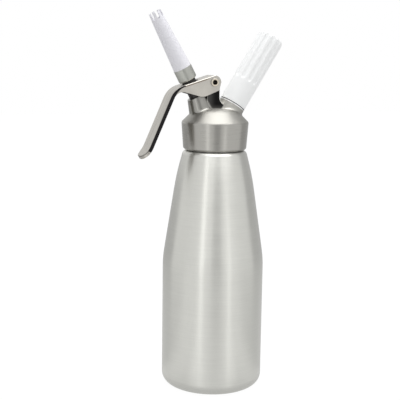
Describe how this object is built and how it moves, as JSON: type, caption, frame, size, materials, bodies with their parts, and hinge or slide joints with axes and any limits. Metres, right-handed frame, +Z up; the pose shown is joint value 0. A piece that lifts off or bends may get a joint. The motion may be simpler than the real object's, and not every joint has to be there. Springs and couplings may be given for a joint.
{
  "type": "cream whipper",
  "caption": "Brushed aluminium cream whipper: screw-on head, squeeze lever over a sprung stem valve, notched decorator tip and a fluted holder for a gas charger.",
  "frame": {"origin": "centre of the bottle's base, on the plane that it stands on", "axes": "+Z up the bottle's axis, +X towards the charger holder's side, -X towards the nozzle and the lever, the front as pictured is about -Y"},
  "size_m": [0.1408, 0.097, 0.3584],
  "materials": {
    "bottle_aluminium": "brushed round the bottle, clear anodised",
    "head_aluminium": "satin, turned",
    "lever_steel": "satin",
    "pin_brass": "satin",
    "stem_steel": "satin, dark",
    "spring_steel": "drawn wire",
    "charger_steel": "plated",
    "ferrule_aluminium": "satin, turned",
    "seal_rubber": "matt",
    "white_plastic": "moulded, satin"
  },
  "bodies": {
    "bottle": {"bottle": "bottle_aluminium"},
    "gasket": {"head_gasket": "seal_rubber"},
    "head": {"head": "head_aluminium", "lever_pin": "pin_brass", "lever_pin_clip": "pin_brass", "stem_o_ring": "seal_rubber", "spring_seat": "pin_brass", "valve_spring": "spring_steel", "piercing_pin": "spring_steel", "piercer_body": "pin_brass", "charger_seal": "seal_rubber", "check_valve": "seal_rubber", "check_valve_retainer": "pin_brass"},
    "lever": {"lever": "lever_steel"},
    "valve": {"valve_stem": "stem_steel", "valve_seal": "seal_rubber", "nozzle_adapter": "stem_steel"},
    "nozzle_seal": {"nozzle_seal": "seal_rubber"},
    "nozzle": {"nozzle_ferrule": "ferrule_aluminium", "decorator_tip": "white_plastic"},
    "charger": {"gas_charger": "charger_steel"},
    "holder": {"charger_holder": "white_plastic"}
  },
  "joints": [
    {"name": "head_lift", "type": "slide", "parent": "bottle", "child": "gasket", "axis": [0, 0, 1], "range_m": [0, 0.01]},
    {"name": "head_turn", "type": "hinge", "parent": "gasket", "child": "head", "pos_m": [0, 0, 0.244], "axis": [0, 0, 1], "range_deg": [0, 901]},
    {"name": "valve_push", "type": "slide", "parent": "head", "child": "valve", "axis": [0.4772, 0, -0.8788], "range_m": [0, 0.00345], "stiffness_N_per_m": 1500, "springref_m": -0.004, "deforming": ["valve_spring"]},
    {"name": "lever_squeeze", "type": "hinge", "parent": "head", "child": "lever", "pos_m": [-0.005, 0, 0.2926], "axis": [0, -1, 0], "range_deg": [0, 12]},
    {"name": "nozzle_lift", "type": "slide", "parent": "valve", "child": "nozzle_seal", "axis": [-0.4772, 0, 0.8788], "range_m": [0, 0.006]},
    {"name": "nozzle_turn", "type": "hinge", "parent": "nozzle_seal", "child": "nozzle", "pos_m": [0, 0, 0.244], "axis": [-0.4772, 0, 0.8788], "range_deg": [0, 1441]},
    {"name": "charger_lift", "type": "slide", "parent": "head", "child": "charger", "axis": [0.524, 0, 0.8517], "range_m": [0, 0.01]},
    {"name": "holder_turn", "type": "hinge", "parent": "charger", "child": "holder", "pos_m": [0, 0, 0.244], "axis": [0.524, 0, 0.8517], "range_deg": [0, 1441]}
  ],
  "couplings": [
    {"joint": "head_turn", "follows": "head_lift", "rad_per_m": 1570.8},
    {"joint": "lever_squeeze", "follows": "valve_push", "rad_per_m": 60.606},
    {"joint": "nozzle_turn", "follows": "nozzle_lift", "rad_per_m": 4188.8},
    {"joint": "holder_turn", "follows": "charger_lift", "rad_per_m": 2513.3}
  ]
}
